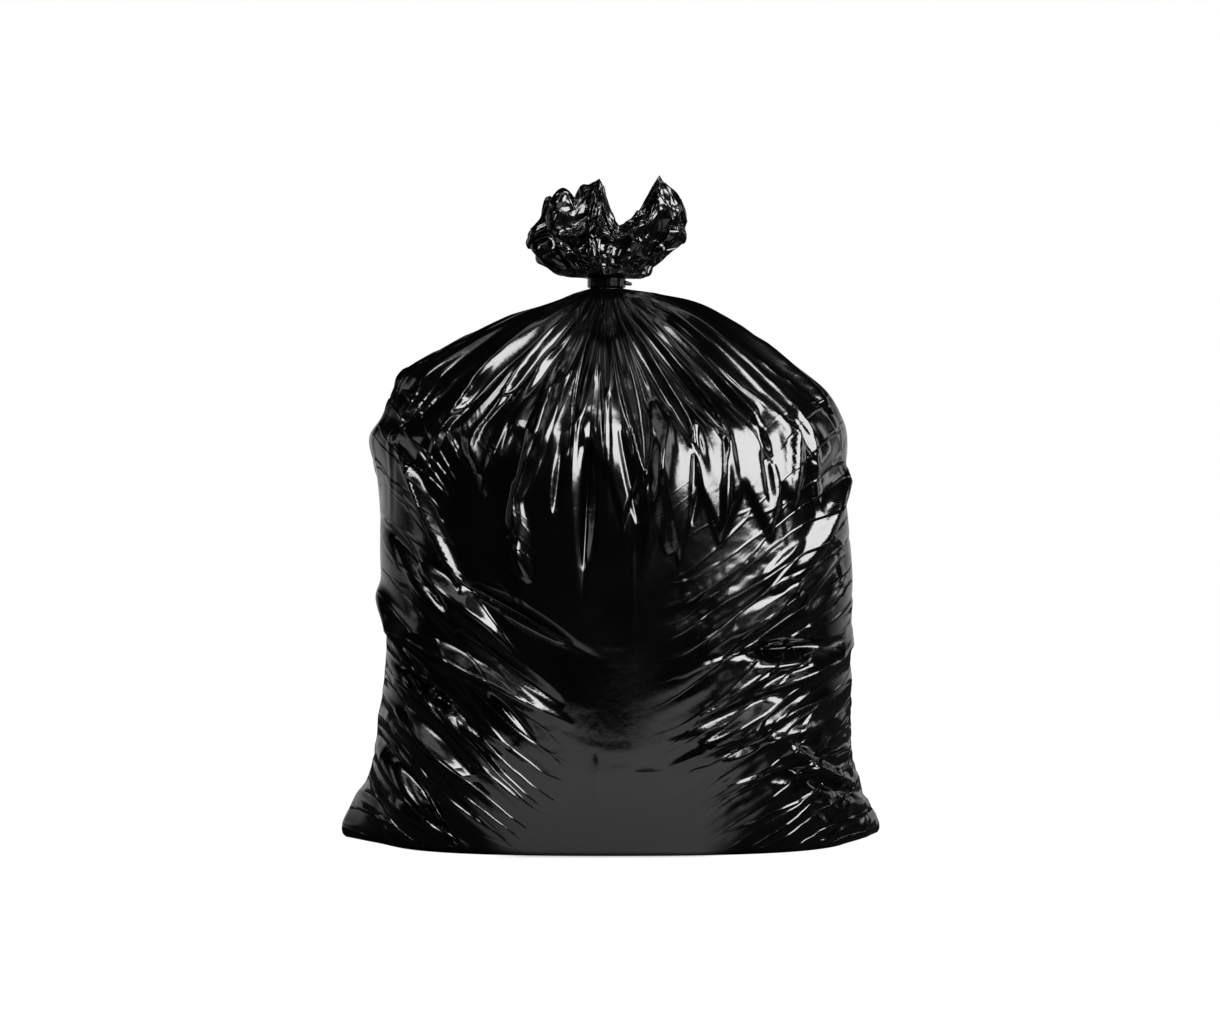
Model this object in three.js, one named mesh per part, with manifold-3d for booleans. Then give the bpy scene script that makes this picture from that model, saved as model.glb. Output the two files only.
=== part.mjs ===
// Full refuse sack of thin black film. The neck is gathered and bound, and the spare film stands above the
// binding as a ruffled topknot. Millimetres, +Z up, the front faces -Y, and the sack rests on z = 0.
import * as THREE from 'three';
import { mergeVertices } from 'three/addons/utils/BufferGeometryUtils.js';
import Module from 'manifold-3d';

// Driving sizes. Everything below that is a share is a share of one of these.
const HALF_WIDTH = 262;
const HALF_DEPTH = 179;
const NECK_HEIGHT = 608.5;
const NECK_RADIUS = 18.3;
const NECK_X = -3;
const KNOT_LEFT = 88;
const KNOT_RIGHT = 80;
const KNOT_DEPTH = 60;
const KNOT_HEIGHT = 112;

// Tie round the neck, with its short end
const TIE_HEIGHT = 10.5;
const TIE_THICKNESS = 2.4;
const TIE_CLEARANCE = 0.3;
const TIE_ROUNDING = 0.9;
const TIE_COLUMNS = 32;
const TIE_END_LENGTH = 22;
const TIE_END_THICKNESS = 6;
const TIE_END_TAPER = 0.7;
const TIE_END_DIRECTION = 70;
const TIE_END_COLUMNS = 10;
const NECK_PAST_TIE = 1;

// Grid of the film: rings go from the resting face to the top of the knot, and columns go round the sack, as
// many from the middle of one valley to the next. An even number puts a column on each ridge.
const COLUMNS_PER_VALLEY = 4;

// Sections of the filled body: height as a share of the neck's, reach left and right as shares of the half
// width, reach front and back as shares of the half depth, and squareness (2 is an ellipse).
const BODY_SECTIONS = [
  { height: 0, left: 0.927, right: 0.965, front: 0.737, back: 0.726, square: 2.5, rings: 1 },
  { height: 0.021, left: 0.981, right: 1.0, front: 0.838, back: 0.821, square: 2.5, rings: 1 },
  { height: 0.099, left: 0.992, right: 1.004, front: 0.933, back: 0.911, square: 2.45, rings: 4 },
  { height: 0.238, left: 0.962, right: 1.015, front: 0.994, back: 0.972, square: 2.4, rings: 6 },
  { height: 0.362, left: 0.927, right: 1.019, front: 1.006, back: 0.989, square: 2.35, rings: 6 },
  { height: 0.509, left: 0.95, right: 1.008, front: 0.989, back: 0.978, square: 2.3, rings: 6 },
  { height: 0.649, left: 0.973, right: 0.992, front: 0.939, back: 0.939, square: 2.2, rings: 5 },
  { height: 0.735, left: 0.992, right: 0.985, front: 0.86, back: 0.866, square: 2.1, rings: 3 },
  { height: 0.799, left: 0.916, right: 0.927, front: 0.749, back: 0.76, square: 2.0, rings: 2 },
  { height: 0.864, left: 0.806, right: 0.767, front: 0.603, back: 0.615, square: 2.0, rings: 2 },
  { height: 0.92, left: 0.516, right: 0.522, front: 0.425, back: 0.436, square: 2.0, rings: 2 },
  { height: 0.966, left: 0.267, right: 0.34, front: 0.246, back: 0.257, square: 2.0, rings: 2 },
  { height: 0.991, left: 0.122, right: 0.19, front: 0.134, back: 0.14, square: 2.0, rings: 1 },
];

// The body leans over to the neck between these shares of the neck's height.
const LEAN_SHARES = [0.49, 0.986];

// Corner ears of the flat bottom seal: direction and half-width in degrees, reach as a share of the half
// width, and height of the tip and of the ear's end as shares of the neck's height.
const LEFT_EAR = { direction: 180, spread: 15, reach: 0.156, tip: 0.008, top: 0.184 };
const RIGHT_EAR = { direction: 0, spread: 18, reach: 0.137, tip: 0.016, top: 0.175 };
const EAR_POINT = 1.25;
const EAR_FALL = 1.4;

// Valleys between the gathers: direction from the neck in degrees, and how far each one runs out from the
// neck before it ends in a point, as a share of the half width.
const BACK_VALLEYS = [
  { direction: 10, run: 1.2 },
  { direction: 22, run: 0.96 },
  { direction: 37, run: 1.31 },
  { direction: 51, run: 1.08 },
  { direction: 64, run: 0.86 },
  { direction: 80, run: 1.02 },
  { direction: 93, run: 0.82 },
  { direction: 107, run: 1.13 },
  { direction: 118, run: 0.89 },
  { direction: 133, run: 1.24 },
  { direction: 148, run: 1.05 },
  { direction: 160, run: 1.28 },
  { direction: 174, run: 1.07 },
];
const FRONT_VALLEYS = [
  { direction: 186, run: 1.09 },
  { direction: 197, run: 1.23 },
  { direction: 212, run: 1.05 },
  { direction: 223, run: 0.87 },
  { direction: 241, run: 0.84 },
  { direction: 257, run: 0.95 },
  { direction: 269, run: 0.82 },
  { direction: 283, run: 1.21 },
  { direction: 301, run: 1.11 },
  { direction: 312, run: 1.1 },
  { direction: 323, run: 1.28 },
  { direction: 336, run: 1.34 },
  { direction: 350, run: 1.18 },
];

// Shape of a valley: depth and the distances that follow are shares of the half width. It is full at one
// distance from the neck and narrows from another, and no valley is shallower than a share of the deepest.
// The powers after that round its bottom, shape its tip, raise it there, and gather it at the neck. The film
// between valleys is lifted a little on the way, and a drop in height counts for more than a step outward.
const VALLEY_DEPTH = 0.065;
const VALLEY_FULL_DISTANCE = 0.305;
const VALLEY_NARROWS_FROM = 0.23;
const VALLEY_SHALLOWEST = 0.75;
const VALLEY_ROUNDNESS = 1.5;
const VALLEY_TIP = [1.6, 0.75];
const VALLEY_RISE = 0.6;
const BUNCHING = 0.9;
const RIDGE_LIFT = 0.3;
const LIFT_STARTS = [0.19, 0.46];
const LIFT_ENDS = [0.46, 1.0];
const DROP_WEIGHT = 1.3;

// Where the wall is left smooth: near the floor (share of the neck's height), near the neck and, for folds,
// at the two sides (shares of the half width).
const SMOOTH_ABOVE_FLOOR = 0.074;
const SMOOTH_NEAR_NECK = [0.076, 0.344];
const SMOOTH_AT_SIDES = 0.2;

// Folds of the front wall as seen from the front. Across, half-width and height are shares of the half
// width, up is a share of the neck's height, and a negative height is a groove.
const FRONT_FOLDS = [
  { from: [-0.87, 0.71], to: [-0.58, 0.46], width: 0.075, height: 0.042 },
  { from: [-0.93, 0.57], to: [-0.66, 0.43], width: 0.065, height: -0.038 },
  { from: [-0.78, 0.51], to: [-0.46, 0.39], width: 0.07, height: 0.038 },
  { from: [-0.58, 0.47], to: [-0.15, 0.37], width: 0.07, height: -0.034 },
  { from: [-0.81, 0.38], to: [-0.27, 0.26], width: 0.075, height: 0.042 },
  { from: [-0.95, 0.47], to: [-0.71, 0.28], width: 0.065, height: 0.034 },
  { from: [-0.86, 0.33], to: [-0.5, 0.21], width: 0.065, height: -0.034 },
  { from: [-0.87, 0.25], to: [-0.55, 0.13], width: 0.075, height: 0.042 },
  { from: [-0.97, 0.2], to: [-0.67, 0.05], width: 0.075, height: -0.038 },
  { from: [-0.2, 0.82], to: [-0.37, 0.62], width: 0.07, height: 0.042 },
  { from: [-0.37, 0.62], to: [-0.35, 0.49], width: 0.07, height: 0.034 },
  { from: [-0.08, 0.72], to: [-0.1, 0.5], width: 0.065, height: -0.034 },
  { from: [0.23, 0.74], to: [0.15, 0.54], width: 0.07, height: 0.03 },
  { from: [1.0, 0.69], to: [0.78, 0.49], width: 0.075, height: 0.038 },
  { from: [0.97, 0.54], to: [0.62, 0.43], width: 0.07, height: -0.034 },
  { from: [0.77, 0.46], to: [0.46, 0.38], width: 0.07, height: 0.038 },
  { from: [0.86, 0.365], to: [0.57, 0.355], width: 0.075, height: -0.05 },
  { from: [0.96, 0.35], to: [0.61, 0.28], width: 0.07, height: 0.038 },
  { from: [0.75, 0.3], to: [0.35, 0.23], width: 0.07, height: -0.038 },
  { from: [0.71, 0.25], to: [0.35, 0.18], width: 0.07, height: 0.038 },
  { from: [0.95, 0.18], to: [0.57, 0.125], width: 0.07, height: -0.034 },
  { from: [1.0, 0.11], to: [0.65, 0.2], width: 0.07, height: 0.038 },
];

// The back wall has folds of the same kind: the front ones turned over, moved up, and somewhat softer.
const BACK_FOLD_RISE = 0.036;
const BACK_FOLD_SHARE = 0.85;

// Lumps that the contents press into the wall: swell as a share of the half width, waves round the sack,
// height of one wave as a share of the neck's, and the start of each.
const LUMPS = [
  { swell: 0.009, around: 3, waveHeight: 0.756, start: 0.8 },
  { swell: 0.007, around: 5, waveHeight: 0.444, start: 2.9 },
  { swell: 0.005, around: 8, waveHeight: 0.32, start: 4.4 },
];

// Film of the topknot from the tie out, up to the rim and down inside: share of the reach, rise above the
// tie as a share of the knot's height, and how far it follows the rim's outline.
const KNOT_PROFILE = [
  { share: 0.2, rise: 0.014, rim: 0 },
  { share: 0.52, rise: 0.04, rim: 0 },
  { share: 0.74, rise: 0.11, rim: 0.02 },
  { share: 0.87, rise: 0.21, rim: 0.08 },
  { share: 0.965, rise: 0.34, rim: 0.2 },
  { share: 1.0, rise: 0.49, rim: 0.55 },
  { share: 0.94, rise: 0.65, rim: 0.8 },
  { share: 0.8, rise: 0.81, rim: 1 },
  { share: 0.66, rise: 0.78, rim: 0.95 },
  { share: 0.48, rise: 0.6, rim: 0.5 },
  { share: 0.24, rise: 0.5, rim: 0.2 },
];
const KNOT_RIM_RISE = 0.83;
const KNOT_HOLLOW_RISE = 0.47;

// Outline of the rim from the front: across as a share of the reach, rise as a share of the knot's height.
const KNOT_RIM = [
  [-1.02, 0.44],
  [-0.82, 0.68],
  [-0.7, 0.84],
  [-0.56, 0.89],
  [-0.33, 0.9],
  [-0.25, 0.99],
  [-0.02, 0.99],
  [0.05, 0.72],
  [0.13, 0.61],
  [0.28, 0.64],
  [0.43, 0.75],
  [0.54, 0.87],
  [0.64, 1.0],
  [0.78, 0.99],
  [0.95, 0.88],
  [1.1, 0.64],
];

// Ruffles of the topknot and the slower swings under them: how many, how far they go in and out, where they
// start round the knot, and how far the rim dips between them. They are full from a share of the reach on.
const RUFFLES = 11;
const RUFFLE_SHARE = 0.1;
const RUFFLE_UNEVENNESS = 1.1;
const RUFFLE_START = 0.6;
const RUFFLE_DIP = 0.035;
const SWINGS = 5;
const SWING_SHARE = 0.05;
const SWING_START = 1;
const SWING_DIP = 0.025;
const RUFFLES_FULL_FROM = 0.85;

// The right side of the topknot is drawn in low down, between these rises.
const RIGHT_TUCK = 0.3;
const RIGHT_TUCK_RISES = [0.06, 0.38];

// Film colours
const FILM_COLOUR = 0x0b0b0d;
const TIE_COLOUR = 0x101012;

const TURN = Math.PI * 2;

// A repeatable number between 0 and 1 for each index and salt.
function scatter(index, salt) {
  const value = Math.sin(index * 12.9898 + salt * 78.233) * 43758.5453;
  return value - Math.floor(value);
}

function clamp(value) {
  return Math.min(1, Math.max(0, value));
}

// 1 at zero, falling in a straight line to 0 at a distance of 1 and more.
function tent(distance) {
  return Math.max(0, 1 - Math.abs(distance));
}

// Smooth step from 0 to 1 as value goes from low to high.
function ramp(value, low, high) {
  const share = clamp((value - low) / (high - low));
  return share * share * (3 - 2 * share);
}

function radians(degrees) {
  return (degrees * Math.PI) / 180;
}

// Smallest signed difference between two angles.
function angleBetween(angle, other) {
  return Math.atan2(Math.sin(angle - other), Math.cos(angle - other));
}

// Value of a smooth curve through neighbouring values a, b, c, d at a share of the way from b to c.
function blend(a, b, c, d, share) {
  const square = share * share;
  const cube = square * share;
  const bend = 2 * a - 5 * b + 4 * c - d;
  const twist = 3 * b - a - 3 * c + d;
  return 0.5 * (2 * b + (c - a) * share + bend * square + twist * cube);
}

// Height at a place across, on a line through points [across, up].
function lineThrough(points, across) {
  if (across <= points[0][0]) {
    return points[0][1];
  }
  for (let index = 1; index < points.length; index += 1) {
    const [x0, y0] = points[index - 1];
    const [x1, y1] = points[index];
    if (across <= x1) {
      return y0 + ((y1 - y0) * (across - x0)) / (x1 - x0);
    }
  }
  return points[points.length - 1][1];
}

// The section of the body at a place along its list of sections, where whole numbers are the sections.
function bodySection(place) {
  const last = BODY_SECTIONS.length - 1;
  const index = Math.min(last - 1, Math.max(0, Math.floor(place)));
  const share = place - index;
  const pick = (offset) => BODY_SECTIONS[Math.min(last, Math.max(0, index + offset))];
  const section = {};
  for (const key of ['height', 'left', 'right', 'front', 'back', 'square']) {
    section[key] = blend(pick(-1)[key], pick(0)[key], pick(1)[key], pick(2)[key], share);
  }
  return section;
}

// How far an ear pushes the wall out at an angle and a share of the neck's height.
function earReach(ear, angle, height) {
  const across = tent(angleBetween(angle, radians(ear.direction)) / radians(ear.spread));
  const below = ramp(height, -ear.tip / 2, ear.tip);
  const above = 1 - ramp(height, ear.tip, ear.top);
  return HALF_WIDTH * ear.reach * across ** EAR_POINT * below * above ** EAR_FALL;
}

// A point of the smooth body, before gathers and folds.
function smoothBody(place, angle) {
  const section = bodySection(place);
  const across = HALF_WIDTH * (Math.cos(angle) < 0 ? section.left : section.right);
  const deep = HALF_DEPTH * (Math.sin(angle) < 0 ? section.front : section.back);
  const wide = Math.abs(Math.cos(angle) / across) ** section.square;
  const long = Math.abs(Math.sin(angle) / deep) ** section.square;
  const ears = earReach(LEFT_EAR, angle, section.height) + earReach(RIGHT_EAR, angle, section.height);
  const reach = (wide + long) ** (-1 / section.square) + ears;
  const shift = NECK_X * ramp(section.height, ...LEAN_SHARES);
  const up = section.height * NECK_HEIGHT;
  return new THREE.Vector3(shift + reach * Math.cos(angle), reach * Math.sin(angle), up);
}

// Outward direction of the smooth body at a point, from points a small step away on each side.
function bodyNormal(place, angle) {
  const step = 0.02;
  const last = BODY_SECTIONS.length - 1;
  const upper = smoothBody(Math.min(last, place + step), angle);
  const lower = smoothBody(Math.max(0, place - step), angle);
  const along = upper.sub(lower);
  const around = smoothBody(place, angle + step).sub(smoothBody(place, angle - step));
  return around.cross(along).normalize();
}

// All valleys in order round the neck, each with its angle and its share of the full depth.
function listValleys() {
  return [...BACK_VALLEYS, ...FRONT_VALLEYS].map((valley, index) => {
    const depth = VALLEY_SHALLOWEST + (1 - VALLEY_SHALLOWEST) * scatter(index, 2);
    return { angle: radians(valley.direction), run: valley.run, depth };
  });
}
const VALLEYS = listValleys();

// Angles of the grid's columns.
function columnAngles() {
  return VALLEYS.flatMap((valley, index) => {
    const gap = Math.abs(angleBetween(VALLEYS[(index + 1) % VALLEYS.length].angle, valley.angle));
    const steps = Array.from({ length: COLUMNS_PER_VALLEY }, (_, step) => step / COLUMNS_PER_VALLEY);
    return steps.map((share) => valley.angle + gap * share);
  });
}
const ANGLES = columnAngles();

// Height of the gathers at an angle and a distance out from the neck, which is a share of the half width.
// The nearest valley counts. It reaches half-way to its neighbours, and narrows to a point where it ends.
function gatherHeight(angle, distance) {
  const turns = VALLEYS.map((valley) => Math.abs(angleBetween(angle, valley.angle)));
  const index = turns.indexOf(Math.min(...turns));
  const valley = VALLEYS[index];
  const side = angleBetween(angle, valley.angle) < 0 ? -1 : 1;
  const neighbour = VALLEYS[(index + side + VALLEYS.length) % VALLEYS.length];
  const across = (2 * turns[index]) / Math.abs(angleBetween(valley.angle, neighbour.angle));
  const travelled = clamp((distance - VALLEY_NARROWS_FROM) / (valley.run - VALLEY_NARROWS_FROM));
  const width = (1 - travelled ** VALLEY_TIP[0]) ** VALLEY_TIP[1];
  const shape = width > 0 ? clamp(1 - (across / width) ** VALLEY_ROUNDNESS) : 0;
  const bunched = Math.min(1, distance / VALLEY_FULL_DISTANCE) ** BUNCHING;
  const lifted = RIDGE_LIFT * ramp(distance, ...LIFT_STARTS) * (1 - ramp(distance, ...LIFT_ENDS));
  const sunk = valley.depth * bunched * shape * width ** VALLEY_RISE;
  return HALF_WIDTH * VALLEY_DEPTH * (lifted - sunk);
}

// Height of one wall fold at a place seen from the front. It tapers towards both ends.
function foldHeight(fold, across, up) {
  const from = [fold.from[0] * HALF_WIDTH, fold.from[1] * NECK_HEIGHT];
  const runAcross = fold.to[0] * HALF_WIDTH - from[0];
  const runUp = fold.to[1] * NECK_HEIGHT - from[1];
  const length = Math.hypot(runAcross, runUp);
  const width = fold.width * HALF_WIDTH;
  const along = ((across - from[0]) * runAcross + (up - from[1]) * runUp) / length;
  const aside = ((across - from[0]) * runUp - (up - from[1]) * runAcross) / length;
  const past = Math.max(0, -along, along - length);
  return fold.height * HALF_WIDTH * tent(aside / width) * tent(past / width);
}

// Height of all wall folds at a point of the smooth body.
function wallFolds(point) {
  let total = 0;
  const onFront = point.y < 0;
  const across = onFront ? point.x : -point.x;
  const up = onFront ? point.z : point.z - BACK_FOLD_RISE * NECK_HEIGHT;
  for (const fold of FRONT_FOLDS) {
    total += foldHeight(fold, across, up) * (onFront ? 1 : BACK_FOLD_SHARE);
  }
  return total * ramp(Math.abs(point.y), 0, SMOOTH_AT_SIDES * HALF_WIDTH);
}

// Broad lumps from the contents, at a share of the neck's height.
function lumps(angle, height) {
  let total = 0;
  for (const lump of LUMPS) {
    const wave = Math.cos((height / lump.waveHeight) * TURN);
    total += lump.swell * wave * Math.sin(lump.around * angle + lump.start);
  }
  return HALF_WIDTH * total;
}

// One point of the folded body.
function bodyPoint(place, angle) {
  const point = smoothBody(place, angle);
  const away = Math.hypot(point.x - NECK_X, point.y) / HALF_WIDTH;
  const distance = Math.hypot(away, (DROP_WEIGHT * (point.z - NECK_HEIGHT)) / HALF_WIDTH);
  const height = point.z / NECK_HEIGHT;
  const fromFloor = ramp(height, 0, SMOOTH_ABOVE_FLOOR);
  const fromNeck = ramp(away, ...SMOOTH_NEAR_NECK);
  const wall = (wallFolds(point) + lumps(angle, height)) * fromNeck;
  const lift = (wall + gatherHeight(angle, distance)) * fromFloor;
  return point.addScaledVector(bodyNormal(place, angle), lift);
}

// One ring of the round neck.
function neckRing(height) {
  return ANGLES.map((angle) => {
    const across = NECK_X + NECK_RADIUS * Math.cos(angle);
    return new THREE.Vector3(across, NECK_RADIUS * Math.sin(angle), height);
  });
}

// One ring of the topknot. Its ruffles grow with the reach, and its rim follows the outline and dips between
// ruffles. Outside the rim the ring starts from the neck, inside it closes towards the middle.
function knotRing(station, inside) {
  const loose = ramp(station.share, 0, RUFFLES_FULL_FROM);
  const start = inside ? 0 : NECK_RADIUS * (1 - station.share);
  return ANGLES.map((angle) => {
    const wave = Math.cos(RUFFLES * angle + RUFFLE_UNEVENNESS * Math.sin(2 * angle + RUFFLE_START));
    const swing = Math.sin(SWINGS * angle + SWING_START);
    const tuck = 1 - RIGHT_TUCK * (1 - ramp(station.rise, ...RIGHT_TUCK_RISES));
    const side = Math.cos(angle) < 0 ? KNOT_LEFT : KNOT_RIGHT * tuck;
    const oval = 1 / Math.hypot(Math.cos(angle) / side, Math.sin(angle) / KNOT_DEPTH);
    const reach = start + station.share * oval * (1 + loose * (RUFFLE_SHARE * wave + SWING_SHARE * swing));
    const across = reach * Math.cos(angle);
    const share = across / (across < 0 ? KNOT_LEFT : KNOT_RIGHT);
    const outline = lineThrough(KNOT_RIM, share) - KNOT_RIM_RISE;
    const dip = RUFFLE_DIP * (1 - wave) + SWING_DIP * (1 + swing);
    const rise = station.rise + station.rim * (outline - dip);
    return new THREE.Vector3(NECK_X + across, reach * Math.sin(angle), tieTop() + rise * KNOT_HEIGHT);
  });
}

function tieTop() {
  return NECK_HEIGHT + TIE_HEIGHT;
}

// All rings of the sack from the resting face to the hollow of the topknot.
function sackRings() {
  const rings = [];
  BODY_SECTIONS.forEach((section, index) => {
    for (let step = 1; step <= section.rings; step += 1) {
      const place = Math.max(0, index - 1 + step / section.rings);
      rings.push(ANGLES.map((angle) => bodyPoint(place, angle)));
    }
  });
  rings.push(neckRing(NECK_HEIGHT - NECK_PAST_TIE));
  rings.push(neckRing(tieTop() + NECK_PAST_TIE / 2));
  const widest = KNOT_PROFILE.findIndex((station) => station.rim === 1);
  KNOT_PROFILE.forEach((station, index) => rings.push(knotRing(station, index > widest)));
  return rings;
}

// A closed surface from rings of equal length, stacked upward, with a point closing each end. The folds drop
// from the sides towards the middle of the front and the back, and each square is split along them.
function closedSurface(rings, bottom, top) {
  const positions = [];
  const faces = [];
  const count = rings[0].length;
  rings.flat().forEach((point) => positions.push(point.x, point.y, point.z));
  positions.push(bottom.x, bottom.y, bottom.z, top.x, top.y, top.z);
  const bottomIndex = rings.length * count;
  const topIndex = bottomIndex + 1;
  const lastRing = (rings.length - 1) * count;
  for (let column = 0; column < count; column += 1) {
    const next = (column + 1) % count;
    faces.push(bottomIndex, next, column);
    faces.push(topIndex, lastRing + column, lastRing + next);
    for (let ring = 0; ring < rings.length - 1; ring += 1) {
      const low = ring * count;
      const high = low + count;
      if (Math.sin(2 * ANGLES[column]) > 0) {
        faces.push(low + column, low + next, high + column);
        faces.push(low + next, high + next, high + column);
      } else {
        faces.push(low + column, low + next, high + next);
        faces.push(low + column, high + next, high + column);
      }
    }
  }
  const geometry = new THREE.BufferGeometry();
  geometry.setAttribute('position', new THREE.Float32BufferAttribute(positions, 3));
  geometry.setIndex(faces);
  return geometry;
}

// The sack with its contents, neck and topknot.
function binBag() {
  const hollow = new THREE.Vector3(NECK_X, 0, tieTop() + KNOT_HOLLOW_RISE * KNOT_HEIGHT);
  const geometry = closedSurface(sackRings(), new THREE.Vector3(0, 0, 0), hollow);
  geometry.computeVertexNormals();
  const material = new THREE.MeshStandardMaterial({ color: FILM_COLOUR, roughness: 0.2, metalness: 0 });
  const mesh = new THREE.Mesh(geometry, material);
  mesh.name = 'bin_bag';
  return mesh;
}

// A closed geometry as a solid that can be joined and cut.
function solidOf(manifold, geometry) {
  geometry.deleteAttribute('normal');
  geometry.deleteAttribute('uv');
  const merged = mergeVertices(geometry);
  const vertProperties = merged.getAttribute('position').array;
  const triVerts = new Uint32Array(merged.getIndex().array);
  return new manifold.Manifold(new manifold.Mesh({ numProp: 3, vertProperties, triVerts }));
}

// The band round the neck, with its short end standing off at the right. The flats of the band clear the
// neck by the clearance.
function neckTie(manifold) {
  const inner = (NECK_RADIUS + TIE_CLEARANCE) / Math.cos(Math.PI / TIE_COLUMNS);
  const outer = inner + TIE_THICKNESS;
  const profile = [
    new THREE.Vector2(inner, 0),
    new THREE.Vector2(outer - TIE_ROUNDING, 0),
    new THREE.Vector2(outer, TIE_ROUNDING),
    new THREE.Vector2(outer, TIE_HEIGHT - TIE_ROUNDING),
    new THREE.Vector2(outer - TIE_ROUNDING, TIE_HEIGHT),
    new THREE.Vector2(inner, TIE_HEIGHT),
    new THREE.Vector2(inner, 0),
  ];
  const band = new THREE.LatheGeometry(profile, TIE_COLUMNS).rotateX(Math.PI / 2);
  const endRadius = TIE_END_THICKNESS / 2;
  const tipRadius = endRadius * TIE_END_TAPER;
  const end = new THREE.CylinderGeometry(tipRadius, endRadius, TIE_END_LENGTH, TIE_END_COLUMNS)
    .rotateZ(-Math.PI / 2)
    .translate(TIE_END_LENGTH / 2, -(inner + TIE_THICKNESS / 2), TIE_HEIGHT / 2)
    .rotateZ(radians(TIE_END_DIRECTION));
  const hole = new THREE.CylinderGeometry(inner, inner, TIE_HEIGHT, TIE_COLUMNS)
    .rotateX(Math.PI / 2)
    .translate(0, 0, TIE_HEIGHT / 2);
  const trimmed = solidOf(manifold, end).subtract(solidOf(manifold, hole));
  const joined = solidOf(manifold, band).add(trimmed).getMesh();
  const indexed = new THREE.BufferGeometry();
  indexed.setAttribute('position', new THREE.BufferAttribute(new Float32Array(joined.vertProperties), 3));
  indexed.setIndex(new THREE.BufferAttribute(new Uint32Array(joined.triVerts), 1));
  const geometry = indexed.toNonIndexed().translate(NECK_X, 0, NECK_HEIGHT);
  geometry.computeVertexNormals();
  const material = new THREE.MeshStandardMaterial({ color: TIE_COLOUR, roughness: 0.3, metalness: 0 });
  const mesh = new THREE.Mesh(geometry, material);
  mesh.name = 'neck_tie';
  return mesh;
}

// Moves everything sideways so that the box round the sack is centred over the origin.
function centre(group) {
  const middle = new THREE.Box3().setFromObject(group).getCenter(new THREE.Vector3());
  for (const mesh of group.children) {
    mesh.geometry.translate(-middle.x, -middle.y, 0);
  }
  return group;
}

const manifold = await Module();
manifold.setup();

const group = new THREE.Group();
group.name = 'full_bin_bag';
group.add(binBag(), neckTie(manifold));
export default centre(group);
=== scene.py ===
import math

import bpy
import numpy as np
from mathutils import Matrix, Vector
from mathutils.bvhtree import BVHTree
from mathutils.geometry import delaunay_2d_cdt


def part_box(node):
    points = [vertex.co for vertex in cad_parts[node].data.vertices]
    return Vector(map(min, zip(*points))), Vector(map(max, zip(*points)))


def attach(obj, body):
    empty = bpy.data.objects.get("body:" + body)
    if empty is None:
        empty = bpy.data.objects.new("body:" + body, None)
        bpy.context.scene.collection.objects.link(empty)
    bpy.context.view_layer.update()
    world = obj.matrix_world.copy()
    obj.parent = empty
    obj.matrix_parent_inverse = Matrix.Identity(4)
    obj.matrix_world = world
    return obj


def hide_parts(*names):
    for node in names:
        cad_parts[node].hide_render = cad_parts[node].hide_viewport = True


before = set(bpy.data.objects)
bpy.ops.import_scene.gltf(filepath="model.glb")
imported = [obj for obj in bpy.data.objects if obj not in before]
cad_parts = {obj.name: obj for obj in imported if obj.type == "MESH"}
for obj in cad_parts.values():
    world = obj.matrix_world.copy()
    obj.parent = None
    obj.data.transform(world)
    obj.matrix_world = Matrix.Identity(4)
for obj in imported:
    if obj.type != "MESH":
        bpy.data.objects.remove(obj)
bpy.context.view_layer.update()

# Sizes below are in millimetres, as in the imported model. Objects are made in metres.
MM = 0.001
TURN = 2 * math.pi
WHITE = (1, 1, 1, 1)

# Main sizes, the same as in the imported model. The tie's outer radius is the one at its corners.
HALF_WIDTH = 262
HALF_DEPTH = 179
NECK_HEIGHT = 608.5
NECK_RADIUS = 18.3
NECK_X = -3
TIE_OUTER = 21.1

# Sections of the filled body as shares of those sizes: height, reach to the left, right, front and back, and
# squareness (2 is an ellipse)
BODY_SECTIONS = np.array([
    [0, 0.927, 0.965, 0.737, 0.726, 2.5],
    [0.021, 0.981, 1.0, 0.838, 0.821, 2.5],
    [0.099, 0.992, 1.004, 0.933, 0.911, 2.45],
    [0.238, 0.962, 1.015, 0.994, 0.972, 2.4],
    [0.362, 0.927, 1.019, 1.006, 0.989, 2.35],
    [0.509, 0.95, 1.008, 0.989, 0.978, 2.3],
    [0.649, 0.973, 0.992, 0.939, 0.939, 2.2],
    [0.725, 0.998, 0.992, 0.86, 0.87, 2.1],
    [0.765, 0.948, 0.968, 0.79, 0.81, 2.05],
    [0.81, 0.905, 0.905, 0.69, 0.72, 2.0],
    [0.85, 0.862, 0.79, 0.6, 0.63, 2.0],
    [0.895, 0.655, 0.64, 0.47, 0.5, 2.0],
    [0.937, 0.435, 0.495, 0.33, 0.36, 2.0],
    [0.972, 0.245, 0.35, 0.2, 0.22, 2.0],
    [0.991, 0.135, 0.21, 0.134, 0.14, 2.0],
])
BODY_SECTIONS *= [NECK_HEIGHT, HALF_WIDTH, HALF_WIDTH, HALF_DEPTH, HALF_DEPTH, 1]

# Ears: direction and spread in degrees, reach, height of the tip, and height where the ear ends
LEFT_EAR = (180, 15, 41, 5, 112)
RIGHT_EAR = (0, 18, 36, 10, 106)

# Grid of the wall, and the coarser one that is simulated
COLUMNS = 400
RINGS = 232
COARSE_COLUMNS = 200
COARSE_RINGS = 120
# How far the columns shift toward the front, in radians
FRONT_SHIFT = 0.52

# Rings of the flat base as shares of the wall's lowest ring, and heights of the rings inside the tie
BASE_SHARES = np.linspace(0.08, 0.97, 7)
NECK_RINGS = (NECK_HEIGHT - 1, NECK_HEIGHT + 3, NECK_HEIGHT + 7)
NECK_TOP = NECK_RINGS[-1]

# Steps in which the sections are measured, and how much a drop counts in the distance from the neck
PROFILE_STEPS = 2000
DROP_WEIGHT = 1.3

# Radii that turn film angles into millimetres around
FILM_RADIUS = 200
HANGING_RADIUS = 180
KNOT_RADIUS = 70
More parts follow.
